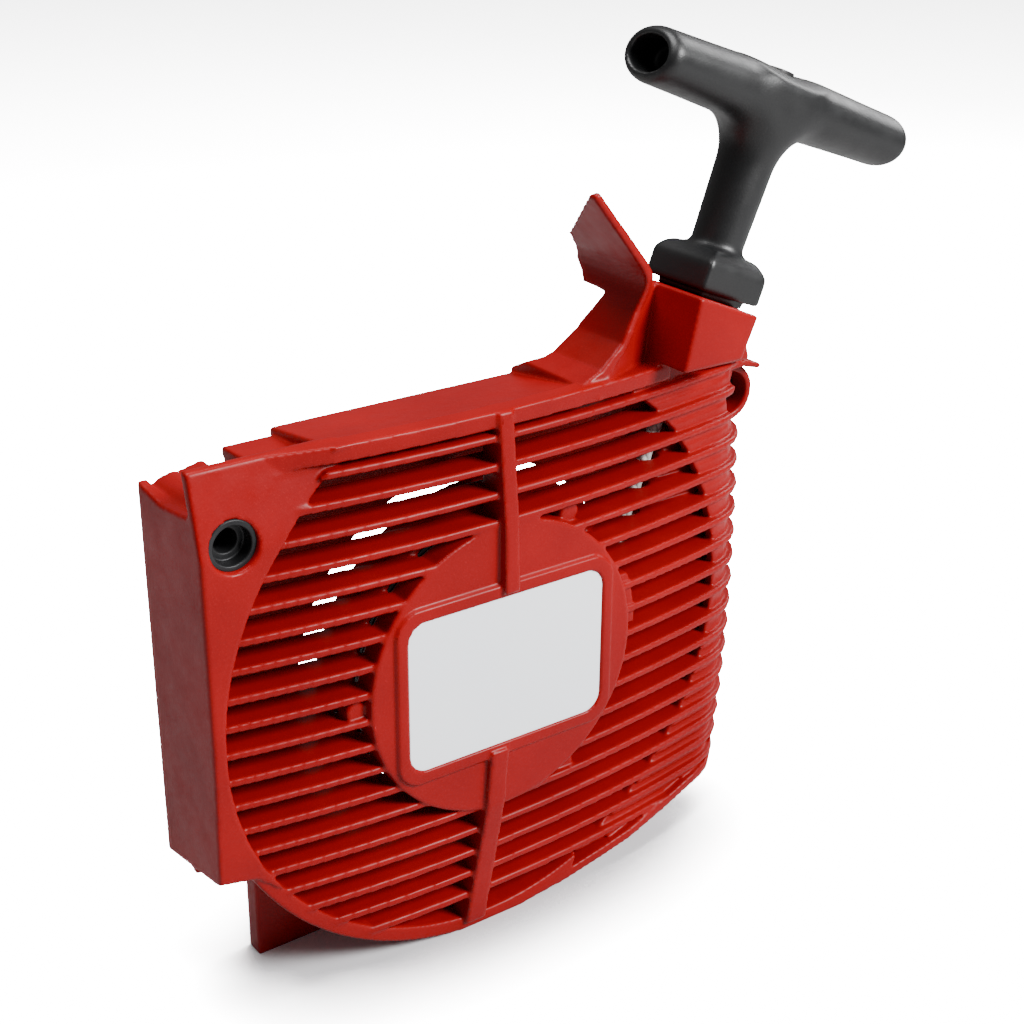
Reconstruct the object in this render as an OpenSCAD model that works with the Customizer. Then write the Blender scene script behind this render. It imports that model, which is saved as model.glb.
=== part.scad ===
// Recoil starter for a small two-stroke engine: moulded fan housing with a
// louvred air intake, rewind spring, rope pulley and T-shaped pull handle.
// Units are millimetres. The origin is on the crankshaft axis, in the plane
// that bolts to the crankcase. +Y points to the engine, +Z is up and -Y is
// the louvred front.

/* [Housing] */
// Distance from the label frame's front to the crankcase face
depth = 33; // [32:0.5:36]
// Outer radius of the round lower rim
rim_r = 76; // [76:0.5:78]
// Radius of the round air intake
intake_r = 72.5; // [71:0.5:73]
// Left side wall, measured from the crankshaft axis
left_x = 75.5; // [75:0.5:77]
// Height of the flat top wall's front edge
top_z = 64.8; // [64:0.2:66]
// Moulded wall thickness
wall = 2.4; // [2:0.1:2.8]

/* [Louvres] */
// Number of louvres
louvre_count = 19; // [17:1:19]
// Spacing from louvre to louvre
louvre_pitch = 6.8; // [6.6:0.1:6.9]
// Height of the top louvre
louvre_top = 58.5; // [58:0.5:59]
// Thickness of one louvre
louvre_t = 1.6; // [1.5:0.1:2]
// Depth of one louvre, front to back
louvre_depth = 9; // [8:0.5:10]

/* [Hub and label] */
// Radius of the closed disc in the middle
hub_r = 37.5; // [37:0.5:38]
// Label width
label_w = 56.4; // [54:0.2:57]
// Label height
label_h = 39.4; // [38:0.2:40]

/* [Fixing lugs] */
// Distance between the two fixing holes
lug_span = 150; // [149:0.5:151]
// Height of the two fixing holes above the axis
lug_z = 48; // [47:0.5:49]
// Radius of the hole for an M5 screw
lug_hole_r = 2.75; // [2.6:0.05:2.8]

/* [Pulley and rope] */
// Radius at which the rope leaves the pulley
rope_r = 33; // [32.6:0.1:33.2]
// Rope diameter
rope_d = 3.5; // [3:0.1:3.6]
// Depth of the rope's plane behind the label frame
rope_depth = 13.5; // [13.4:0.1:13.6]
// Lean of the pull direction from vertical, in degrees
lean = 22; // [21.8:0.1:22.2]
// Radius of the pulley's flanges
pulley_r = 36.5; // [36:0.1:37]
// Radius of the fixed steering post
post_r = 6; // [5.8:0.1:6]

/* [Handle] */
// Overall length of the cross bar
bar_len = 86; // [82:1:90]
// Width of the cross bar's oval section
bar_w = 20; // [18:0.5:21]
// Height of the cross bar's oval section
bar_h = 13.6; // [12:0.2:14]
// Height of the cross bar's centre above the tower
bar_rise = 50.3; // [49:0.5:52]
// Radius of the stem
stem_r = 6.2; // [6:0.1:6.5]

/* [Hidden] */
$fn = 96;

// Clearances
end_play = 0.3;
fit = 0.05;
cut = 0.5;

// Front surface of the louvres: a shallow dome with a rounded right-hand edge
dome_r = 760;
dome_low = 840;
dome_high = 1600;
edge_r = 18;
edge_x = 69.75;
edge_d = 24.8;
side_x = edge_x + edge_r;
skin_back = 2;
skin_t = 2.4;

// Tower that carries the rope guide
tower_top = 96.9;
guide_r = 5;
guide_len = 8;
channel_r = 3.2;

// Depths behind the label frame, front to back
hub_d = 1.1;
hub_t = 1.8;
cup_end = 8.2;
cassette_front = 3.6;
cassette_t = 0.8;
spring_front = 3.8;
spring_w = 4.2;
nose_front = 4.4;
flange_d = 9.3;
flange_t = 1;
groove_w = 6.4;
groove_d = flange_d + flange_t;
back_d = groove_d + groove_w + flange_t;
post_end = back_d + end_play;
washer_t = 1;
cup_base_t = 1.4;
cup_back = 32;
core_r = 21;
coil_r = rope_r - rope_d / 2 - 0.35;
bush_r = 7.5;
washer_r = 11;
cup_hole_r = 12.2;
cup_r = 20.5;
cup_wall = 1.9;
guard_front_r = 39.4;
guard_r = 44.8;
guard_t = 1.6;
guard_front = 8.45;
guard_end = 15.2;
eye_r = 46.7;
baffle_d = 19;
baffle_t = 1.8;

// Screws and rivets
boss_ring = 40;
boss_r = 2.6;
screw_r = 1;
screw_head_r = 2.2;
screw_head_h = 1.4;
rivet_ring = 15.8;
rivet_r = 1.5;
knot_ring = 15.5;
knot_r = 2.2;
knot_h = 3.8;
knot_pocket_r = 3.1;
insert_r = 3.2;
m5_r = 2.1;

// Foot that the starter stands on
foot_d = 28;
stand_z = 75.5;

// Fixing lugs
lug_r = 7.5;
counter_r = 4.5;
counter_d = 3.4;
sleeve_r = 5.9;
left_lug_x = -67.4;
right_lug_x = left_lug_x + lug_span;

// Handle, measured along the rope from the tower's top
neck_gap = 0.25;
flange_low = 1.8;
flange_h = 8.8;
flange_w = 19.2;
flange_y = 21;
collar_w = 15;
collar_y = 16;
knot_up = 42;
bar_tilt = 2;
bar_shift = 2;

// Places its children in a frame on the rope: Z along the pull, origin in the
// crankshaft's height, s millimetres up the rope
module on_rope(s) {
    rotate([0, lean, 0])
        translate([rope_r, rope_depth - depth, s])
            children();
}

// Extrudes a front view, X across and Z up, between two depths
module slab(d0, d1) {
    translate([0, d1 - depth, 0])
        rotate([90, 0, 0])
            linear_extrude(height = d1 - d0)
                children();
}

// Extrudes a side view, depth across and Z up, between two X values
module side_slab(x0, x1) {
    translate([x0, -depth, 0])
        rotate([90, 0, 90])
            linear_extrude(height = x1 - x0)
                children();
}

// A round post along Y between two depths
module rod(r, d0, d1) {
    translate([0, d0 - depth, 0])
        rotate([-90, 0, 0])
            cylinder(r = r, h = d1 - d0);
}

// A solid cone along Y between two depths
module cone(r0, r1, d0, d1) {
    translate([0, d0 - depth, 0])
        rotate([-90, 0, 0])
            cylinder(r1 = r0, r2 = r1, h = d1 - d0);
}

// A round tube along Y between two depths
module tube(r_out, r_in, d0, d1) {
    difference() {
        rod(r_out, d0, d1);
        rod(r_in, d0 - cut, d1 + cut);
    }
}

// Copies its children at equal angles about the crankshaft axis
module around(count, first, ring) {
    for (i = [0 : count - 1])
        rotate([0, -first - i * 360 / count, 0])
            translate([ring, 0, 0])
                children();
}

// Line of the louvres' front edge seen from above, moved back by an inset
function crest_x(x) = x * x / dome_r;
function crest_front(inset, x0, x1) =
    [for (i = [0 : 12]) let (x = x0 + (x1 - x0) * i / 12) [x, crest_x(x) + inset]];
function crest_edge(inset) =
    [for (a = [-75 : 15 : 0]) [edge_x + (edge_r - inset) * cos(a), edge_d + (edge_r - inset) * sin(a)]];
function crest(inset) = concat(crest_front(inset, -76, 72), crest_edge(inset), [[side_x - inset, depth]]);
function flip(list) = [for (i = [len(list) - 1 : -1 : 0]) list[i]];

// How far the dome falls back at a height
function drop(z) = z < 0 ? z * z / dome_low : z * z / dome_high;
function louvre_z(k) = louvre_top - k * louvre_pitch;

// Extrudes a plan view, X across and depth, between two heights
module plan_slab(z0, z1, fall) {
    translate([0, fall - depth, z0])
        linear_extrude(height = z1 - z0)
            children();
}

// One louvre, full width, wrapping round the right-hand edge
module louvre(z) {
    inner = side_x - skin_back - skin_t;
    plan_slab(z - louvre_t / 2, z + louvre_t / 2, drop(z))
        polygon(concat(crest_front(0, -76, 72), crest_edge(0),
            [[side_x, depth - drop(z)], [inner, depth - drop(z)], [inner, edge_d]],
            flip(crest_front(louvre_depth, -76, 72))));
}

// Closed skin between two louvres outside the intake
module skin(z) {
    plan_slab(z - louvre_pitch / 2, z + louvre_pitch / 2, drop(z))
        polygon(concat(crest(skin_back), flip(crest(skin_back + skin_t))));
}

// Front view of the housing's outline, moved inwards by t
function outline(t) = concat(
    [[-left_x + t, 53 - t], [-left_x + t, -39 + t], [-66, -39 + t]],
    [for (a = [208 : 8 : 272]) (rim_r - 0.06 - t) * [cos(a), sin(a)]],
    [[23, -73.9 + t], [36.5, -71.2 + t], [72, -63 + t]],
    [for (a = [-70 : 20 : -10]) [74.4, -51.6] + (11.4 - t) * [cos(a), sin(a)]],
    [[side_x - skin_back - t, -44], [side_x - skin_back - t, 61 - t], [-43, 61 - t]]);

// Space in which louvres may stand, in front view
module louvre_area() {
    intersection() {
        polygon(outline(0));
        union() {
            circle(r = intake_r + 1.5);
            translate([20, -80]) square([80, 150]);
        }
    }
    translate([60, -44]) square([40, 105]);
}

// Louvres and the closed skin on the right
module grille() {
    difference() {
        intersection() {
            union() {
                for (k = [0 : louvre_count - 1]) louvre(louvre_z(k));
                difference() {
                    for (k = [0 : louvre_count - 1]) skin(louvre_z(k));
                    rod(intake_r, -2, 60);
                    translate([-100, -60, -80]) cube([110, 80, 160]);
                    translate([50, -60, 59.6]) cube([26, 80, 10]);
                }
            }
            slab(-4, depth) louvre_area();
        }
        rod(hub_r - 1.2, -cut, 40);
        rod(pulley_r + 1.6, cup_end - 0.9, 40);
        screw_room();
    }
}

// Room round the cassette's ears and screw heads
module screw_room() {
    around(3, 60, boss_ring) rod(boss_r + 0.5, cup_end - 0.15, 12);
}

// Side and bottom walls
module walls() {
    difference() {
        intersection() {
            slab(7, depth) polygon(outline(0));
            union() {
                translate([-100, -60, -80]) cube([120, 80, 160]);
                plan_slab(-80, 60, 4.2) polygon(concat(crest(0), [[19, depth], [19, 0]]));
            }
        }
        slab(5, depth + 1) polygon(outline(wall));
        translate([-60, -60, 40]) cube([200, 80, 40]);
        rod(intake_r, -2, 12);
        // the left wall's lower edge slopes down to the back
        side_slab(-80, -66) polygon([[0, -33.4], [depth, -39], [depth + 2, -45], [0, -45]]);
    }
}

// Flat front plate around the upper left lug, sloping back at its top
module front_plate() {
    difference() {
        slab(4, 12) polygon([[-left_x, -34], [-66, -36], [-40, -58], [-40, 65], [-left_x, 65]]);
        rod(intake_r, -2, 14);
        // front face, leaning back above the lug and below the middle
        side_slab(-80, -30) polygon([[0, 46], [4, 46], [8.2, 65.2], [0, 65.2]]);
        side_slab(-80, -30) polygon([[0, 0], [4, 0], [7.2, -60], [0, -60]]);
        // hollow behind it
        slab(6.6, 13) polygon([[-left_x + wall, -50], [-40, -64], [-38, 43], [-left_x + wall, 43]]);
        side_slab(-left_x + wall, -38) polygon([[6.6, 42], [10.8, 62.6], [13, 62.6], [13, 42]]);
        side_slab(-80, -38) polygon([[8.2, 54.6], [10.9, 66], [14, 66], [14, 54.6]]);
        // facet between the plate and the intake's edge
        translate([-47, 4 - depth, 60])
            rotate([0, 20, 0]) rotate([0, 0, 9]) translate([0, -20, -40]) cube([20, 20, 60]);
    }
}

// Flat top wall with its rim, and the lower tab to its left
module top_wall() {
    side_slab(-43, 27) polygon([[4, top_z], [depth, 60.6], [depth, 58.4], [6, 61.6]]);
    plan_slab(61.1, top_z, 2.4)
        polygon(concat([[-60, 6.1]], crest_front(0, -43, 52), flip(crest_front(5, -43, 52)), [[-60, 7.8]]));
    side_slab(-56, -42) polygon([[7, 60.6], [31, 59.4], [31, 57.4], [7, 58.4]]);
    side_slab(-56, -54) polygon([[7, 60.4], [31, 59.4], [29, 52], [7, 52]]);
    side_slab(-left_x, -left_x + wall)
        polygon([[7.4, 56.4], [9.5, 54.9], [22, 53.4], [depth, 55], [depth, 50], [7.4, 50]]);
}

// Thin curved fin left of the tower, with its leaning tip
module fin() {
    intersection() {
        slab(4, depth)
            polygon([[24, 64.8], [30, 67.3], [36.7, 72.7], [40.9, 80], [42.3, 84.2], [42.6, 86.4],
                [42.2, 88.4],
                [41, 90.6], [26.5, 108.9], [27.8, 109.8], [42.6, 91.5], [44, 89.1], [44.4, 86.2], [44, 83.6],
                [42.7, 79.3], [38.2, 71.6], [31, 65.3], [26, 61], [24, 61]]);
        side_slab(20, 50)
            polygon([[4.6, 58], [depth, 58], [depth, 62], [24.4, 66.2], [23, 73.7], [18.9, 81.7],
                [27.8, 82.2], [31.6, 87.2], [28.6, 94.6], [5, 110.5], [4.6, 88], [6.6, 80], [5, 64]]);
    }
}

// Rope tower with its open back
module tower() {
    difference() {
        union() {
            slab(-3, 10) polygon([[48.7, 65.6], [52.9, 83.3], [71.5, 75.5], [66.9, 65.6]]);
            slab(8.8, 12) polygon([[46, 60.4], [48.7, 66], [66.9, 66], [74, 60.4]]);
            slab(8, 28) polygon([[47.6, 60.4], [48.7, 65.6], [52.9, 83.3], [76.4, 73.6], [80, 60.4]]);
        }
        slab(-0.8, 12) polygon([[51, 68], [54, 78.5], [68.5, 72.6], [65.5, 68]]);
        slab(10.4, 40)
            polygon([[52, 50], [52, 64], [55, 74.4], [74.4, 66], [76.5, 60.8], [70, 50]]);
    }
    web();
    on_rope(tower_top - guide_len - 2) cylinder(r = 8, h = guide_len + 1.6);
}

// Slanting web between the fin and the tower
module web() {
    intersection() {
        slab(2, 18)
            polygon([[27.5, 61.6], [31, 65], [38.2, 71.3], [42.9, 79.3], [44.2, 86.2], [54.7, 82.2],
                [53.6, 61.6]]);
        translate([54, 14.2 - depth, 55]) rotate([0, 0, 23]) translate([-32, 0, 0]) cube([34, 2, 36]);
    }
}

// Disc in the middle with the label frame, spring pocket and post
module hub() {
    rod(hub_r, hub_d, hub_d + hub_t);
    tube(hub_r, hub_r - 2.4, hub_d, cup_end - 0.45);
    difference() {
        label_block(label_w + 6, label_h + 6, 6.5, 0, hub_d + 1);
        label_block(label_w, label_h, 5, -1, hub_d);
    }
    rod(post_r, hub_d, post_end);
    around(3, 60, boss_ring) rod(boss_r, cassette_front, cup_end);
    // crescent tab behind the disc's right edge
    intersection() {
        tube(40.6, hub_r - 0.9, 3, 7);
        translate([30, -depth, 0]) cube([12, 20, 14]);
    }
}

// Rounded rectangle between two depths
module label_block(w, h, r, d0, d1) {
    slab(d0, d1) {
        square([w - 2 * r, h], center = true);
        square([w, h - 2 * r], center = true);
        for (x = [-1, 1], z = [-1, 1]) translate([x * (w / 2 - r), z * (h / 2 - r)]) circle(r = r);
    }
}

// Upright ribs above and below the label
module ribs() {
    side_slab(-1.9, 1.9)
        polygon([[-1.4, 21], [-1.2, 36], [1.6, 64.6], [8, 64.6], [8, 36], [2, 36], [2, 21]]);
    intersection() {
        side_slab(-12, 4)
            polygon([[-1, -21], [-0.4, -36], [5.6, -73], [12, -75], [8, -36], [2, -36], [2, -21]]);
        slab(-2, 14) polygon([[-5.4, -20], [-0.5, -20], [-3.2, -76], [-9, -76]]);
    }
}

// Foot behind the rim, on which the starter stands
module foot() {
    slab(foot_d, depth)
        polygon([[-56, -49], [-56, -stand_z], [42, -stand_z], [42, -68], [0, -70], [-30, -60]]);
}

// Lug bosses, from the front to the crankcase face
module lug_solids() {
    translate([left_lug_x, 0, lug_z]) rod(lug_r, 6.7, depth);
    translate([right_lug_x, 0, lug_z]) rod(lug_r, 17, depth);
    // hooked lip over the right lug
    slab(13.3, 18.3)
        polygon([[76, 57], [84, 57.7], [89.6, 55.7], [89.2, 54.7], [83.5, 56.3], [76, 55.6]]);
}

// Panel behind the louvres that closes the right-hand side of the rope's way
module channel_panel() {
    slab(12.4, 14) polygon([[62.5, 61], [59.6, 52], [51.4, 22], [78, 22], [78, 61]]);
    slab(12.4, baffle_d + 1) polygon([[62.5, 61], [51.4, 22], [53.2, 22], [64.3, 61]]);
}

// Conical guard round the pulley, and the baffle with the fan's air eye
module inner_walls() {
    difference() {
        cone(guard_front_r, guard_r, guard_front, guard_end);
        cone(guard_front_r - guard_t, guard_r - guard_t, guard_front - 0.01, guard_end + 0.01);
        screw_room();
    }
    difference() {
        slab(baffle_d, baffle_d + baffle_t) polygon(outline(0.5));
        rod(eye_r, 0, 40);
        translate([side_x - 4.2, -depth, -80]) cube([10, 60, 160]);
    }
}

module lug_holes() {
    for (x = [left_lug_x, right_lug_x]) translate([x, 0, lug_z]) rod(sleeve_r, 0, depth + 1);
}

// Moulded fan housing, one piece
module housing() {
    color([0.74, 0.11, 0.1])
    difference() {
        union() {
            grille();
            walls();
            front_plate();
            top_wall();
            fin();
            tower();
            hub();
            ribs();
            foot();
            lug_solids();
            channel_panel();
            inner_walls();
            intersection() {
                tube(rim_r, intake_r, 6.9, 14);
                slab(6, 40)
                    polygon([[-66.7, -35.4], [-40, -30], [0, -40], [30, -60], [24, -75.5], [-70, -75.5]]);
            }
        }
        lug_holes();
        on_rope(15) cylinder(r = channel_r, h = 90);
        on_rope(tower_top - guide_len) cylinder(r = guide_r, h = 30);
        rod(insert_r, 9, 40);
        around(3, 60, boss_ring) rod(screw_r, 5, 12);
        translate([-100, -60, -90]) cube([200, 80, 90 - stand_z]);
    }
}

// Blank label plate
module label_plate() {
    color([0.91, 0.93, 0.97])
        label_block(label_w - 0.4, label_h - 0.4, 4.8, 0.3, hub_d);
}

// Black sleeves that the fixing screws pass through
module sleeve(x, d0) {
    color([0.06, 0.06, 0.06])
    translate([x, 0, lug_z])
        difference() {
            rod(sleeve_r, d0, depth);
            rod(lug_hole_r, d0 - cut, depth + cut);
            rod(counter_r, d0 - cut, d0 + counter_d);
        }
}
module lug_sleeve_left() {
    sleeve(left_lug_x, 5.4);
}
module lug_sleeve_right() {
    sleeve(right_lug_x, 22);
}

// Threaded brass insert in the post
module post_insert() {
    color([0.78, 0.62, 0.3])
        tube(insert_r, m5_r, 9, post_end);
}

// Shallow dish that holds the rewind spring against the disc
module spring_cassette() {
    color([0.12, 0.12, 0.13])
    difference() {
        union() {
            rod(34.7, cassette_front, cup_end);
            rod(34.7, cup_end, cup_end + cassette_t);
            around(3, 60, boss_ring) rod(boss_r, cup_end, cup_end + cassette_t);
            around(3, 60, boss_ring - 6)
                translate([0, cup_end - depth, -boss_r]) cube([6, cassette_t, 2 * boss_r]);
        }
        rod(33.2, 0, cup_end);
        rod(11.5, 0, 20);
        around(3, 60, boss_ring) rod(screw_r, 5, 12);
    }
}

// Three screws through the cassette's ears
module cassette_screws() {
    color([0.6, 0.6, 0.62])
        around(3, 60, boss_ring) {
            rod(screw_r, 5, cup_end + cassette_t);
            rod(screw_head_r, cup_end + cassette_t, cup_end + cassette_t + screw_head_h);
        }
}

// Flat spiral spring
spring_turns = 7;
spring_in = 10.7;
spring_out = 32.2;
spring_t = 0.6;
function spiral_r(a) = spring_in + (spring_out - spring_in) * a / (360 * spring_turns);
function spiral(side) = [for (a = [0 : 15 : 360 * spring_turns])
    (spiral_r(a) + side * spring_t / 2) * [cos(a), sin(a)]];
module recoil_spring() {
    color([0.55, 0.56, 0.58])
        slab(spring_front, spring_front + spring_w) polygon(concat(spiral(-1), flip(spiral(1))));
}

// Rope pulley with a nose that winds the spring
module pulley() {
    color([0.16, 0.16, 0.17])
    difference() {
        union() {
            rod(10, nose_front, flange_d);
            rod(core_r, flange_d, back_d);
            rod(pulley_r, flange_d, groove_d);
            rod(pulley_r, groove_d + groove_w, back_d);
        }
        rod(bush_r, 0, 40);
        // pocket and passage for the rope's knot
        around(1, 90, knot_ring) rod(knot_pocket_r, groove_d + 0.4, 40);
        rotate([0, -90, 0]) translate([knot_ring, rope_depth - depth, 0])
            rotate([0, 90, 0]) cylinder(r = rope_d / 2 + 0.15, h = 8);
        around(4, 45, rivet_ring) rod(rivet_r, 12, 40);
    }
}

// Plain bearing pressed into the pulley
module pulley_bushing() {
    color([0.72, 0.55, 0.3])
        tube(bush_r, post_r + fit, nose_front, back_d - 0.2);
}

// Steel cup whose slots the engine's pawls catch
module drive_cup() {
    color([0.62, 0.63, 0.65])
    difference() {
        union() {
            rod(cup_r, back_d, back_d + cup_base_t);
            tube(cup_r, cup_r - cup_wall, back_d, cup_back);
        }
        rod(cup_hole_r, 0, 40);
        around(4, 0, cup_r) translate([-4, 24 - depth, -3]) cube([8, 5, 6]);
        around(4, 45, rivet_ring) rod(rivet_r, 12, 40);
    }
}

// Four rivets that hold the cup to the pulley
module cup_rivets() {
    color([0.7, 0.7, 0.72])
        around(4, 45, rivet_ring) {
            rod(rivet_r, 12, back_d + cup_base_t);
            rod(2.5, back_d + cup_base_t, back_d + cup_base_t + 1);
        }
}

// Washer and screw that keep the pulley on its post
module post_washer() {
    color([0.66, 0.67, 0.69])
        tube(washer_r, m5_r + 0.4, post_end, post_end + washer_t);
}
module post_screw() {
    color([0.5, 0.5, 0.52])
    difference() {
        union() {
            rod(m5_r, 11, post_end + washer_t);
            rod(4.6, post_end + washer_t, post_end + washer_t + 2.8);
        }
        translate([0, post_end + washer_t + 1 - depth, 0])
            rotate([-90, 0, 0]) cylinder(r = 2.3, h = 4, $fn = 6);
    }
}

// Flanged bush that the rope runs through at the tower's top
module rope_guide() {
    color([0.08, 0.08, 0.08])
    on_rope(tower_top - guide_len)
        difference() {
            cylinder(r = guide_r, h = guide_len);
            translate([0, 0, -1]) cylinder(r = rope_d / 2 + 0.75, h = guide_len + 2);
            translate([0, 0, -0.01]) cylinder(r1 = 4, r2 = 2.4, h = 2);
        }
}

// Wound rope on the drum
module rope_coil() {
    color([0.85, 0.85, 0.82])
        tube(coil_r, core_r, groove_d, groove_d + groove_w);
}

// Knot at the rope's inner end, in the pulley's pocket
module drum_knot() {
    color([0.85, 0.85, 0.82])
        rotate([0, -90, 0]) translate([knot_ring, rope_depth - depth, 0]) {
            rotate([0, 90, 0]) translate([0, 0, -knot_h / 2]) cylinder(r = knot_r, h = knot_h);
            rotate([0, 90, 0]) cylinder(r = rope_d / 2, h = core_r - knot_ring - 0.2);
        }
}

// Straight rope from the drum through the guide into the handle
module rope_lead() {
    color([0.85, 0.85, 0.82])
        on_rope(2) cylinder(r = rope_d / 2, h = tower_top + knot_up - 5.7);
}

// Knot that holds the handle on the rope
module handle_knot() {
    color([0.85, 0.85, 0.82])
        on_rope(tower_top + knot_up) sphere(r = 3.6);
}

// Washer under the knot
module knot_washer() {
    color([0.66, 0.67, 0.69])
        on_rope(tower_top + knot_up - 4.55)
            difference() {
                cylinder(r = 4.4, h = 0.95);
                translate([0, 0, -1]) cylinder(r = rope_d / 2, h = 3);
            }
}

// Places its children along the cross bar, Z along the bar
module on_bar(x) {
    translate([bar_shift, 0, bar_rise])
        rotate([0, 90 - bar_tilt, 0])
            translate([0, 0, x])
                children();
}

// Oval section of the cross bar
module oval(w, h) {
    square([h, w - h], center = true);
    for (y = [-1, 1]) translate([0, y * (w - h) / 2]) circle(r = h / 2);
}

// Rectangular block round the rope between two heights
module foot_block(w, y, z0, z1) {
    translate([-w / 2, -y / 2, z0])
        cube([w, y, z1 - z0]);
}

// T-shaped grip with a square flange at its foot
module handle_grip() {
    color([0.09, 0.09, 0.1])
    on_rope(tower_top)
    difference() {
        union() {
            foot_block(collar_w, collar_y, neck_gap, flange_low + 1);
            foot_block(flange_w, flange_y, flange_low, flange_low + flange_h - 2.8);
            foot_block(flange_w - 3, flange_y - 3, flange_low, flange_low + flange_h - 1.2);
            foot_block(flange_w - 6, flange_y - 6, flange_low, flange_low + flange_h);
            translate([0, 0, flange_low]) cylinder(r = stem_r, h = bar_rise - flange_low);
            translate([0, 0, bar_rise - 17]) cylinder(r1 = stem_r, r2 = stem_r + 3.4, h = 12);
            on_bar(-bar_len / 2) linear_extrude(height = bar_len) oval(bar_w, bar_h);
        }
        for (x = [-bar_len / 2 - 1, bar_len / 2 - 9]) on_bar(x) linear_extrude(height = 10) oval(13, 7.6);
        translate([0, 0, -1]) cylinder(r = rope_d / 2 + 0.05, h = knot_up);
        translate([0, 0, knot_up - 4.6]) cylinder(r = 4.5, h = 30);
    }
}

// Cap that closes the knot's hole in the grip
module handle_plug() {
    color([0.04, 0.04, 0.04])
        on_rope(tower_top + bar_rise + bar_h / 2 - 2.6)
            cylinder(r = 4.5, h = 2.8);
}

housing();
label_plate();
lug_sleeve_left();
lug_sleeve_right();
post_insert();
spring_cassette();
cassette_screws();
recoil_spring();
pulley();
pulley_bushing();
drive_cup();
cup_rivets();
post_washer();
post_screw();
rope_guide();
rope_coil();
drum_knot();
rope_lead();
handle_knot();
knot_washer();
handle_grip();
handle_plug();
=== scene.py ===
"""Recoil starter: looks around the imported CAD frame."""
import math

import bmesh
import bpy
import numpy as np
from mathutils import Matrix, Vector


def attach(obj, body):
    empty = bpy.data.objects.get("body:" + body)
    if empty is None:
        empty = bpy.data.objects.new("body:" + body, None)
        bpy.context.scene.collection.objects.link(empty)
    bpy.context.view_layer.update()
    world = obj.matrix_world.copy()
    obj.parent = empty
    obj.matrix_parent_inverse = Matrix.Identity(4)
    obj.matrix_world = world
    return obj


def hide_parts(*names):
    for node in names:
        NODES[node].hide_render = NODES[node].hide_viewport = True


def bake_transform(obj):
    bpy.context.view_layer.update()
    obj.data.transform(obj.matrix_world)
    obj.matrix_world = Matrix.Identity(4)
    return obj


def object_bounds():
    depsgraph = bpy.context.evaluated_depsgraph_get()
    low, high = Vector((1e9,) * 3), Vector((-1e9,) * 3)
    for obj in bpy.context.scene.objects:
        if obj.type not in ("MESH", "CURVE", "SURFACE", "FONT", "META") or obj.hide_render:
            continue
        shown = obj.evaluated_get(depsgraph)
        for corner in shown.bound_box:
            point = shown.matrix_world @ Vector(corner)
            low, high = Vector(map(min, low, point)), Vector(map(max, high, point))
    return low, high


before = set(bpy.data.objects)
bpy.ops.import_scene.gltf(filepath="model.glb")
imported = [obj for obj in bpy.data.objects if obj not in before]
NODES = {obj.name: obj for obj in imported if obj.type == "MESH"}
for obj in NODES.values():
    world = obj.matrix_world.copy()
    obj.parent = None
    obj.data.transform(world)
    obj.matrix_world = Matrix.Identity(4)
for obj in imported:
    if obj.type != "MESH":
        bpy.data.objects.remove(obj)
CAD_BOX = [[float(c) for c in p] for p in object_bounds()]
MM = 0.001
HOUSING, PULLEY, ROPE, HANDLE = "starter_housing", "rope_pulley", "pull_rope", "pull_handle"

# Studio: the ambient light, and how much brighter the camera sees the floor and the background
WORLD_LIGHT = 0.21
FLOOR_GAIN = 17.0
SHADE_REACH = 0.06
FLOOR_REACH = 8

# Camera
LENS = 60.45
CAMERA_PLACE = (-0.2118, -0.3246, 0.1972)
CAMERA_FORWARD = (0.5400, 0.7417, -0.3978)
CAMERA_RIGHT = (0.8101, -0.5863, 0.0065)

# The rope's line, as in the CAD and in millimetres: it leaves the drum at ROPE_R and leans by LEAN
LEAN = math.radians(22)
ACROSS = Vector((math.cos(LEAN), 0, -math.sin(LEAN)))
ALONG = Vector((math.sin(LEAN), 0, math.cos(LEAN)))
ROPE_R, ROPE_Y, ROPE_D = 33.0, -19.5, 3.5
TOWER_TOP, KNOT_UP = 96.9, 42.0
COIL_R, COIL_FRONT, COIL_PITCH = 29.2, -20.9, 1.6
STRAND = 2.6

# The grip's bar, in millimetres: half its length, its centre above the tower and its shift along itself
BAR_HALF, BAR_RISE, BAR_SHIFT, BAR_TILT = 43, 50.3, 2.0, math.radians(2)

# The housing's shell, in metres: size of the remesh, and how far the smoothed faces move back out
SHELL_VOXEL, SHELL_OUT, SHELL_KEPT = 0.00044, 0.0002, 0.2


def on_rope(s):
    """A point s mm up the rope, in metres."""
    p = ACROSS * ROPE_R + ALONG * s
    return Vector((p.x, ROPE_Y, p.z)) * MM


ROPE_FRAME = Matrix((
    (ACROSS.x, 0, ALONG.x, 0),
    (0, 1, 0, 0),
    (ACROSS.z, 0, ALONG.z, 0),
    (0, 0, 0, 1)))
ROPE_FRAME.translation = on_rope(0)


# ---------------------------------------------------------------- camera
def make_camera():
    data = bpy.data.cameras.new("camera")
    data.sensor_width = 36
    data.lens = LENS
    data.clip_start = 0.01
    cam = bpy.data.objects.new("camera", data)
    forward = Vector(CAMERA_FORWARD).normalized()
    right = Vector(CAMERA_RIGHT)
    right = (right - forward * right.dot(forward)).normalized()
    up = right.cross(forward)
    m = Matrix((right, up, -forward)).transposed().to_4x4()
    m.translation = Vector(CAMERA_PLACE)
    cam.matrix_world = m
    bpy.context.scene.collection.objects.link(cam)
    bpy.context.scene.camera = cam


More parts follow.
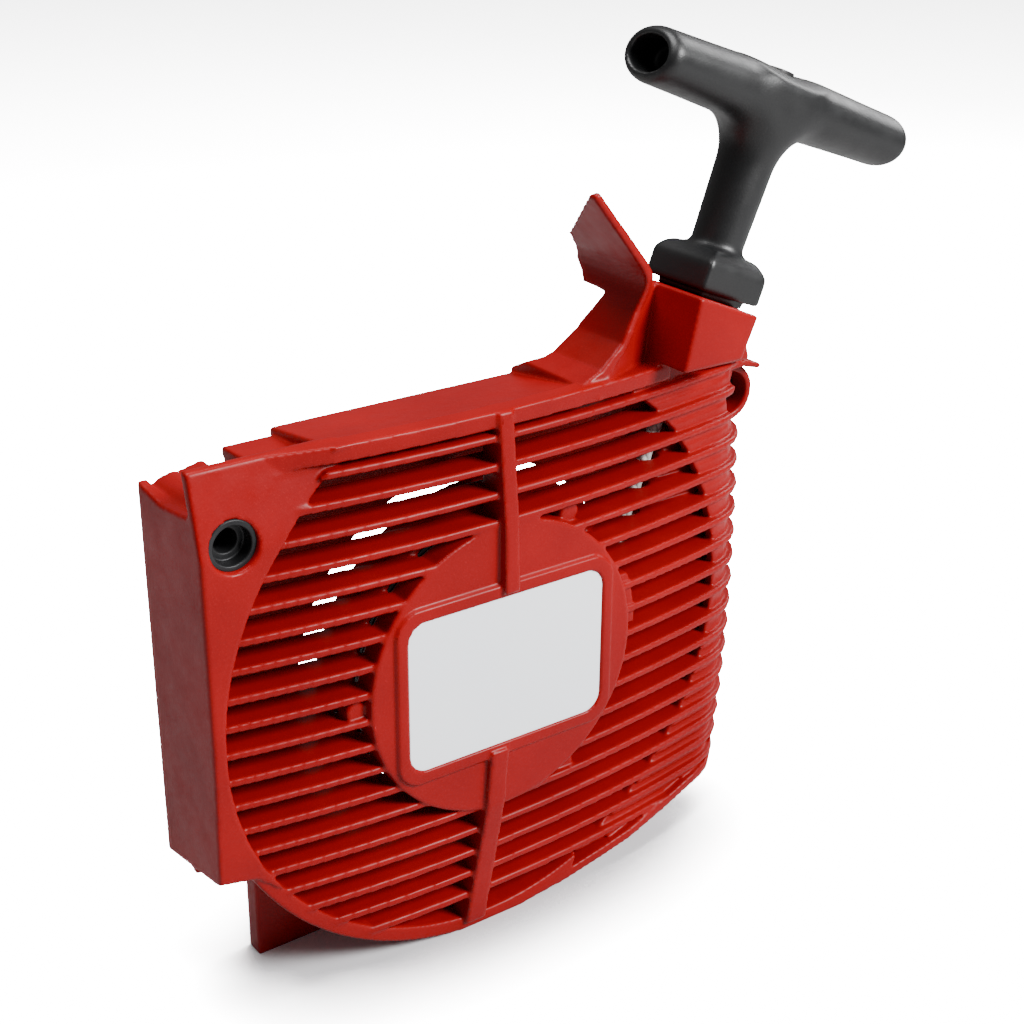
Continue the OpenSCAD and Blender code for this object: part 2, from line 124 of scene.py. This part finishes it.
# ---------------------------------------------------------------- node materials
class Mat:
    """A material and short calls that add nodes to it."""

    def __init__(self, name):
        self.mat = bpy.data.materials.new(name)
        self.mat.use_nodes = True
        self.tree = self.mat.node_tree
        self.bsdf = self.tree.nodes["Principled BSDF"]
        coords = self.node("ShaderNodeTexCoord")
        self.object = coords.outputs["Object"]

    def node(self, kind, **values):
        n = self.tree.nodes.new(kind)
        for key, value in values.items():
            if hasattr(n, key):
                setattr(n, key, value)
            else:
                n.inputs[key.replace("_", " ")].default_value = value
        return n

    def link(self, a, b):
        self.tree.links.new(a, b)

    def set(self, **values):
        for key, value in values.items():
            self.bsdf.inputs[key.replace("_", " ")].default_value = value

    def noise(self, scale, detail=2.0, rough=0.5, vector=None):
        n = self.node("ShaderNodeTexNoise", Scale=scale, Detail=detail, Roughness=rough)
        self.link(vector or self.object, n.inputs["Vector"])
        return n.outputs["Fac"]

    def math(self, operation, a, b=None):
        n = self.node("ShaderNodeMath", operation=operation)
        for i, v in enumerate((a, b)):
            if v is None:
                continue
            if isinstance(v, (int, float)):
                n.inputs[i].default_value = v
            else:
                self.link(v, n.inputs[i])
        return n.outputs[0]

    def map(self, value, low, high, to_low, to_high):
        n = self.node("ShaderNodeMapRange")
        n.inputs["From Min"].default_value = low
        n.inputs["From Max"].default_value = high
        n.inputs["To Min"].default_value = to_low
        n.inputs["To Max"].default_value = to_high
        self.link(value, n.inputs["Value"])
        return n.outputs["Result"]

    def mix(self, factor, a, b):
        n = self.node("ShaderNodeMix", data_type="RGBA")
        self.link(factor, n.inputs["Factor"])
        # a mix node's colour sockets are inputs 6 and 7 and output 2
        for i, v in ((6, a), (7, b)):
            if isinstance(v, tuple):
                n.inputs[i].default_value = (*v, 1)
            else:
                self.link(v, n.inputs[i])
        return n.outputs[2]

    def bump(self, height, strength, distance, normal=None):
        n = self.node("ShaderNodeBump", Strength=strength, Distance=distance)
        self.link(height, n.inputs["Height"])
        if normal is not None:
            self.link(normal, n.inputs["Normal"])
        return n.outputs["Normal"]

    def rounded(self, radius):
        """Normals rounded over an edge radius."""
        n = self.node("ShaderNodeBevel", samples=6, Radius=radius)
        return n.outputs["Normal"]

    def color(self, socket):
        self.link(socket, self.bsdf.inputs["Base Color"])

    def rough(self, socket):
        self.link(socket, self.bsdf.inputs["Roughness"])

    def normal(self, socket):
        self.link(socket, self.bsdf.inputs["Normal"])


def plastic(name, dark, light, rough, grain, depth, edge=0.0004, speck=None):
    """Moulded plastic: mottled colour, uneven gloss, fine grain and rounded edges."""
    m = Mat(name)
    broad = m.map(m.noise(35, 3), 0.35, 0.65, 0, 1)
    col = m.mix(broad, dark, light)
    if speck:
        dots = m.map(m.noise(2600, 2, 0.6), 0.62, 0.72, 0, 1)
        col = m.mix(dots, col, speck)
    m.color(col)
    m.rough(m.map(m.noise(120, 4, 0.6), 0.3, 0.7, rough - 0.05, rough + 0.08))
    orange = m.noise(grain, 2, 0.5)
    m.normal(m.bump(orange, 0.6, depth, m.rounded(edge)))
    m.set(IOR=1.5)
    return m.mat


def metal(name, dark, light, rough, brushed=(1, 1, 1), edge=0.0002, metallic=1.0):
    """Plated, turned or rolled metal with brushed streaks."""
    m = Mat(name)
    stretch = m.node("ShaderNodeMapping")
    stretch.inputs["Scale"].default_value = brushed
    m.link(m.object, stretch.inputs["Vector"])
    streak = m.noise(900, 4, 0.6, stretch.outputs["Vector"])
    col = m.mix(m.map(m.noise(60, 4), 0.35, 0.65, 0, 1), dark, light)
    m.color(col)
    m.rough(m.map(streak, 0.3, 0.7, rough - 0.08, rough + 0.1))
    m.normal(m.bump(streak, 0.25, 0.00003, m.rounded(edge)))
    m.set(Metallic=metallic)
    return m.mat


def braid(name, straight):
    """Braided rope: two sets of strands that cross on the rope's surface, with painted shade in the
    grooves between them.
    """
    m = Mat(name)
    place = m.node("ShaderNodeMapping")
    if straight:
        inv = ROPE_FRAME.inverted()
        place.inputs["Location"].default_value = inv.translation
        place.inputs["Rotation"].default_value = inv.to_euler()
    m.link(m.object, place.inputs["Vector"])
    split = m.node("ShaderNodeSeparateXYZ")
    m.link(place.outputs["Vector"], split.inputs[0])
    x, y, z = split.outputs
    if straight:
        turn = m.math("ARCTAN2", y, x)
        along = m.math("MULTIPLY", z, 1 / (STRAND * MM))
    else:
        # wound round the Y axis: the way round the drum is the rope's length
        turn = m.math("MULTIPLY", y, 2 * math.pi / (11 * MM))
        along = m.math("MULTIPLY", m.math("ARCTAN2", z, x), 29.0 / STRAND)
    turn = m.math("MULTIPLY", turn, 4 / (2 * math.pi))
    strands = []
    for way in ("ADD", "SUBTRACT"):
        wave = m.math("SINE", m.math("MULTIPLY", m.math(way, along, turn), math.pi))
        strands.append(m.math("ABSOLUTE", wave))
    height = m.math("MULTIPLY", *strands)
    fibre = m.noise(5000, 3, 0.7)
    # painted shade: the colour darkens to grey in the grooves where the strands dip, and is pale on the
    # strand crowns
    m.color(m.mix(m.map(height, 0, 0.6, 0, 1), (0.42, 0.41, 0.38), (0.80, 0.79, 0.75)))
    both = m.math("ADD", height, m.math("MULTIPLY", fibre, 0.25))
    m.normal(m.bump(both, 0.9, 0.0003))
    m.set(Roughness=0.75, Sheen_Weight=0.25)
    return m.mat


def red_plastic():
    """The housing's red: mottled, with light specks and darker dust."""
    m = Mat("red_plastic")
    broad = m.map(m.noise(26, 4, 0.55), 0.35, 0.65, 0, 1)
    col = m.mix(broad, (0.19, 0.0007, 0.0013), (0.245, 0.0010, 0.0018))
    specks = m.map(m.noise(3200, 2, 0.6), 0.60, 0.70, 0, 0.3)
    col = m.mix(specks, col, (0.40, 0.015, 0.015))
    dust = m.map(m.noise(900, 3, 0.65), 0.60, 0.76, 0, 0.3)
    col = m.mix(dust, col, (0.13, 0.002, 0.002))
    m.color(col)
    m.rough(m.map(m.noise(140, 4, 0.6), 0.3, 0.7, 0.33, 0.45))
    orange = m.noise(1300, 2, 0.5)
    fine = m.noise(4200, 2, 0.6)
    both = m.math("ADD", orange, m.math("MULTIPLY", fine, 0.4))
    m.normal(m.bump(both, 0.5, 0.00005))
    m.set(IOR=1.45, Specular_IOR_Level=0.2)
    return m.mat


# ---------------------------------------------------------------- meshes
def new_object(name, verts, faces, material, smooth=True):
    mesh = bpy.data.meshes.new(name)
    mesh.from_pydata([tuple(v) for v in verts], [], [tuple(f) for f in faces])
    mesh.update()
    if smooth:
        mesh.shade_smooth()
    obj = bpy.data.objects.new(name, mesh)
    bpy.context.scene.collection.objects.link(obj)
    mesh.materials.append(material)
    return obj


def paint(node, material):
    mesh = NODES[node].data
    mesh.materials.clear()
    mesh.materials.append(material)
    mesh.polygons.foreach_set("material_index", [0] * len(mesh.polygons))


def soften(node, width):
    """A small real bevel on a CAD node's sharp edges."""
    obj = NODES[node]
    weld = obj.modifiers.new("weld", "WELD")
    weld.merge_threshold = 0.00001
    bevel = obj.modifiers.new("bevel", "BEVEL")
    bevel.width = width
    bevel.segments = 3
    bevel.limit_method = "ANGLE"
    bevel.angle_limit = math.radians(35)


def surface_nets(field, low, step):
    """Vertices and quads of a grid field's zero surface, negative inside."""
    inside = field < 0
    nx, ny, nz = field.shape
    corners = [(i, j, k) for i in (0, 1) for j in (0, 1) for k in (0, 1)]
    cell = np.zeros((nx - 1, ny - 1, nz - 1), int)
    for i, j, k in corners:
        cell += inside[i:nx - 1 + i, j:ny - 1 + j, k:nz - 1 + k]
    active = (cell > 0) & (cell < 8)
    index = -np.ones(cell.shape, int)
    index[active] = np.arange(active.sum())
    where = np.argwhere(active)
    total = np.zeros((len(where), 3))
    count = np.zeros(len(where))
    for a in corners:
        for axis in range(3):
            if a[axis]:
                continue
            b = list(a)
            b[axis] = 1
            fa = field[tuple((where + a).T)]
            fb = field[tuple((where + b).T)]
            cross = (fa < 0) != (fb < 0)
            t = np.where(cross, fa / np.where(cross, fa - fb, 1), 0)
            point = where + np.array(a, float)
            point[:, axis] += t
            total[cross] += point[cross]
            count[cross] += 1
    verts = total / count[:, None] * step + np.array(low)
    faces = []
    for axis in range(3):
        u, v = (axis + 1) % 3, (axis + 2) % 3
        n = list(field.shape)
        a = np.argwhere(np.diff(inside.astype(np.int8), axis=axis) != 0)
        ok = (a[:, u] > 0) & (a[:, v] > 0) & (a[:, u] < n[u] - 1) & (a[:, v] < n[v] - 1)
        a = a[ok]
        du, dv = np.eye(3, dtype=int)[u], np.eye(3, dtype=int)[v]
        quad = [a - du - dv, a - dv, a, a - du]
        ids = np.stack([index[tuple(q.T)] for q in quad], 1)
        flip = ~inside[tuple(a.T)]
        ids[flip] = ids[flip][:, ::-1]
        faces.append(ids)
    return verts, np.vstack(faces)


# ---------------------------------------------------------------- housing
def housing_shell(material):
    """The moulded housing with its edges rounded as a mould leaves them."""
    mesh = NODES["housing"].data.copy()
    obj = bpy.data.objects.new("housing_shell", mesh)
    bpy.context.scene.collection.objects.link(obj)
    bm = bmesh.new()
    bm.from_mesh(mesh)
    bmesh.ops.remove_doubles(bm, verts=bm.verts, dist=0.000005)
    bm.to_mesh(mesh)
    bm.free()
    remesh = obj.modifiers.new("remesh", "REMESH")
    remesh.mode = "VOXEL"
    remesh.voxel_size = SHELL_VOXEL
    smooth = obj.modifiers.new("smooth", "SMOOTH")
    smooth.factor = 0.5
    smooth.iterations = 4
    # the smoothing draws thin walls in; this puts them back
    full = obj.modifiers.new("full", "DISPLACE")
    full.strength = SHELL_OUT
    full.mid_level = 0
    thin = obj.modifiers.new("thin", "DECIMATE")
    thin.ratio = SHELL_KEPT
    graph = bpy.context.evaluated_depsgraph_get()
    done = bpy.data.meshes.new_from_object(obj.evaluated_get(graph), depsgraph=graph)
    obj.modifiers.clear()
    obj.data = done
    done.materials.clear()
    done.materials.append(material)
    done.shade_smooth()
    return obj


# ---------------------------------------------------------------- handle
def smooth_min(a, b, k):
    """The smaller of two fields, blended over k."""
    h = np.clip(0.5 + 0.5 * (b - a) / k, 0, 1)
    return b * (1 - h) + a * h - k * h * (1 - h)


def smooth_max(a, b, k):
    return -smooth_min(-a, -b, k)


def box_field(x, y, z, half, r):
    """Distance to a box with rounded edges."""
    q = [np.abs(c) - h + r for c, h in zip((x, y, z), half)]
    out = np.sqrt(sum(np.maximum(c, 0) ** 2 for c in q))
    return out + np.minimum(np.maximum(np.maximum(q[0], q[1]), q[2]), 0) - r


def grip_field(x, y, z):
    """The grip's shape in the rope's frame, mm: z up the rope from the tower, x along the bar."""
    # square flange with bevelled shoulders over a smaller collar
    collar = box_field(x, y, z - 1.65, (7.6, 8.1, 1.55), 0.3)
    flange = box_field(x, y, z - 6.9, (10.1, 10.9, 5.1), 0.9)
    lean_in = (z - 9.0) * 0.95
    slope = np.maximum(np.abs(x) - 10.1 + lean_in, np.abs(y) - 10.9 + lean_in) * 0.75
    flange = smooth_max(flange, slope, 1.2)
    # stem, oval above and flaring to the bar
    rise = np.clip((z - 8) / 30, 0, 1)
    rx = 6.3 + 0.4 * rise
    ry = 6.6 + 1.2 * rise
    stem = (np.sqrt((x / rx) ** 2 + (y / ry) ** 2) - 1) * np.minimum(rx, ry)
    stem = np.maximum(stem, np.maximum(4 - z, z - 50))
    # cross bar: oval, thickest in the middle, with a shallow dip on top
    cx, cz = x - BAR_SHIFT, z - BAR_RISE
    bx = cx * math.cos(BAR_TILT) + cz * math.sin(BAR_TILT)
    bz = -cx * math.sin(BAR_TILT) + cz * math.cos(BAR_TILT)
    t = np.clip(np.abs(bx) / BAR_HALF, 0, 1)
    rz = 6.7 + 1.3 * (1 - t) ** 1.3 - np.where(bz > 0, 1.3 * np.exp(-(bx / 8) ** 2), 0)
    rw = 9.5 + 0.7 * (1 - t)
    ring = (np.sqrt((bz / rz) ** 2 + (y / rw) ** 2) - 1) * 7.4
    bar = smooth_max(ring, np.abs(bx) - BAR_HALF, 3.2)
    body = smooth_min(stem, bar, 9.5)
    body = smooth_max(body, np.abs(y) - 10.3, 1.5)
    body = smooth_min(body, flange, 2.2)
    body = np.minimum(body, collar)
    # hollow ends
    hollow = (np.sqrt((bz / 4.3) ** 2 + (y / 6.6) ** 2) - 1) * 4.3
    hollow = smooth_max(hollow, 34 - np.abs(bx), 0.8)
    body = smooth_max(body, -hollow, 0.7)
    # shaft for the rope and the seat of the knot and its plug
    shaft = np.where(z < KNOT_UP - 4.6, np.hypot(x, y) - 1.85, np.hypot(x, y) - 4.55)
    body = np.maximum(body, -shaft)
    return body


def handle_grip(material):
    """The grip's mesh, from the zero surface of its field."""
    step = 0.55
    low = (-44.5, -12.6, -0.6)
    size = (175, 47, 114)
    axes = [low[i] + step * np.arange(size[i]) for i in range(3)]
    x, y, z = np.meshgrid(*axes, indexing="ij")
    verts, faces = surface_nets(grip_field(x, y, z), low, step)
    verts[:, 2] += TOWER_TOP
    obj = new_object("grip_body", verts * MM, faces, material)
    obj.data.transform(ROPE_FRAME)
    relax = obj.modifiers.new("relax", "SMOOTH")
    relax.factor = 0.5
    relax.iterations = 3
    return obj


# ---------------------------------------------------------------- rope
def tube(name, points, radius, sides, material):
    """A round tube along points, closed at both ends."""
    verts, faces = [], []
    n = len(points)
    for i, p in enumerate(points):
        a = (points[min(i + 1, n - 1)] - points[max(i - 1, 0)]).normalized()
        side = a.cross(Vector((0, 1, 0)))
        side = side.normalized() if side.length > 0.1 else Vector((1, 0, 0))
        other = a.cross(side)
        for k in range(sides):
            t = 2 * math.pi * k / sides
            verts.append(p + (side * math.cos(t) + other * math.sin(t)) * radius)
    for i in range(n - 1):
        for k in range(sides):
            a, b = i * sides + k, i * sides + (k + 1) % sides
            faces.append((a, b, b + sides, a + sides))
    faces.append(tuple(range(sides))[::-1])
    faces.append(tuple(range((n - 1) * sides, n * sides)))
    return new_object(name, verts, faces, material)


def rope_line(material):
    """The rope from the drum into the grip, finely divided where it stretches."""
    mouth, top, rings = 97, TOWER_TOP + KNOT_UP - 4, 190
    places = [i * 2.0 for i in range(1, 49)]
    places += [mouth + i * (top - mouth) / rings for i in range(rings + 1)]
    return tube("rope_line", [on_rope(s) for s in places], ROPE_D / 2 * MM, 16, material)


def rope_turns(material):
    """The wound rope's outer turns on the drum."""
    points = []
    turns, steps = 1.75, 160
    for i in range(steps + 1):
        f = i / steps
        a = f * turns * 2 * math.pi
        y = COIL_FRONT + COIL_PITCH * turns * f
        points.append(Vector((COIL_R * math.cos(a), y, COIL_R * math.sin(a))) * MM)
    return tube("rope_turns", points, 1.65 * MM, 14, material)


# ---------------------------------------------------------------- stage
def area_light(name, place, aim, size, power):
    data = bpy.data.lights.new(name, "AREA")
    data.size = size
    data.energy = power
    lamp = bpy.data.objects.new(name, data)
    lamp.location = place
    lamp.rotation_euler = (Vector(aim) - Vector(place)).to_track_quat("-Z", "Y").to_euler()
    bpy.context.scene.collection.objects.link(lamp)


def seen_or_lit(tree, lit, seen, output):
    """One shader for the light that falls on the object, another for what the camera sees."""
    path = tree.nodes.new("ShaderNodeLightPath")
    both = tree.nodes.new("ShaderNodeMixShader")
    tree.links.new(path.outputs["Is Camera Ray"], both.inputs[0])
    tree.links.new(lit, both.inputs[1])
    tree.links.new(seen, both.inputs[2])
    tree.links.new(both.outputs[0], tree.nodes[output].inputs["Surface"])


def floor_material():
    """A pale floor that the camera sees brightly lit, with a soft shade close to the object."""
    m = Mat("floor_paint")
    m.color(m.mix(m.map(m.noise(3, 2), 0.3, 0.7, 0, 1), (0.40, 0.40, 0.40), (0.42, 0.42, 0.42)))
    m.set(Roughness=0.9, Specular_IOR_Level=0.1)
    near = m.node("ShaderNodeAmbientOcclusion", Distance=SHADE_REACH)
    open_sky = m.math("POWER", m.map(near.outputs["AO"], 0.50, 0.96, 0, 1), 1.6)
    bright = m.node("ShaderNodeBsdfDiffuse")
    m.link(m.mix(open_sky, (0.7, 0.7, 0.72), (FLOOR_GAIN,) * 3), bright.inputs["Color"])
    seen_or_lit(m.tree, m.bsdf.outputs[0], bright.outputs[0], "Material Output")
    return m.mat


def stage(floor_z):
    """The floor, the soft studio round it and the lights."""
    corners = ((-1, -1), (1, -1), (1, 1), (-1, 1))
    verts = [(x * FLOOR_REACH, y * FLOOR_REACH, floor_z) for x, y in corners]
    floor = new_object("floor", verts, [(0, 1, 2, 3)], floor_material(), smooth=False)
    world = bpy.data.worlds.new("studio")
    world.use_nodes = True
    soft = world.node_tree.nodes["Background"]
    soft.inputs["Color"].default_value = (1, 1, 1, 1)
    soft.inputs["Strength"].default_value = WORLD_LIGHT
    white = world.node_tree.nodes.new("ShaderNodeBackground")
    white.inputs["Strength"].default_value = WORLD_LIGHT * FLOOR_GAIN
    seen_or_lit(world.node_tree, soft.outputs[0], white.outputs[0], "World Output")
    bpy.context.scene.world = world
    area_light("key", (0.42, -0.80, 0.62), (0.02, 0, 0.03), 0.34, 27)
    area_light("top", (-0.10, 0.06, 0.85), (0, 0, 0), 0.45, 10)
    area_light("right", (0.85, 0.12, 0.50), (0.08, 0, 0.12), 0.35, 4)


# ---------------------------------------------------------------- pieces
make_camera()
red = red_plastic()
shell = housing_shell(red)
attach(shell, HOUSING)
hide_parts("housing")
paint("housing", red)

paint("label_plate", plastic("label_white", (0.93, 0.95, 1.0), (0.95, 0.97, 1.0), 0.42, 700, 0.00001,
                             edge=0.0003))
soften("label_plate", 0.0003)

black_steel = metal("black_steel", (0.012, 0.012, 0.013), (0.03, 0.03, 0.032), 0.42, metallic=0.6)
for n in ("lug_sleeve_left", "lug_sleeve_right"):
    paint(n, black_steel)
    soften(n, 0.0004)
paint("post_insert", metal("brass", (0.55, 0.37, 0.12), (0.66, 0.46, 0.17), 0.32, (1, 20, 1)))
dark = plastic("dark_plastic", (0.022, 0.022, 0.024), (0.035, 0.035, 0.038), 0.5, 1600, 0.00004,
               speck=(0.10, 0.10, 0.10))
for n in ("spring_cassette", "pulley"):
    paint(n, dark)
zinc = metal("zinc_steel", (0.42, 0.43, 0.45), (0.56, 0.57, 0.58), 0.34, (1, 12, 1))
for n in ("drive_cup", "cup_rivets", "cassette_screws", "post_washer", "post_screw", "knot_washer"):
    paint(n, zinc)
paint("recoil_spring", metal("spring_steel", (0.16, 0.17, 0.20), (0.26, 0.27, 0.30), 0.30, (1, 30, 1)))
paint("pulley_bushing", metal("bronze", (0.40, 0.24, 0.09), (0.52, 0.33, 0.14), 0.45))
paint("rope_guide", plastic("guide_plastic", (0.012, 0.012, 0.012), (0.02, 0.02, 0.02), 0.4, 1500,
                            0.00003))

rope_wound = braid("rope_wound", False)
rope_straight = braid("rope_straight", True)
for n in ("rope_coil", "drum_knot"):
    paint(n, rope_wound)
for n in ("rope_lead", "handle_knot"):
    paint(n, rope_straight)
line = rope_line(rope_straight)
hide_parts("rope_lead")
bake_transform(line)
turns = rope_turns(rope_wound)
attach(turns, PULLEY)

grip_black = plastic("black_grip", (0.0030, 0.0031, 0.0035), (0.0046, 0.0048, 0.0054), 0.42, 2300,
                     0.00006, edge=0.0003)
grip = handle_grip(grip_black)
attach(grip, HANDLE)
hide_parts("handle_grip")
paint("handle_grip", grip_black)
paint("handle_plug", plastic("black_plug", (0.006, 0.006, 0.006), (0.010, 0.010, 0.010), 0.45, 1800,
                             0.00003))
soften("handle_plug", 0.0004)

stage(CAD_BOX[0][2])
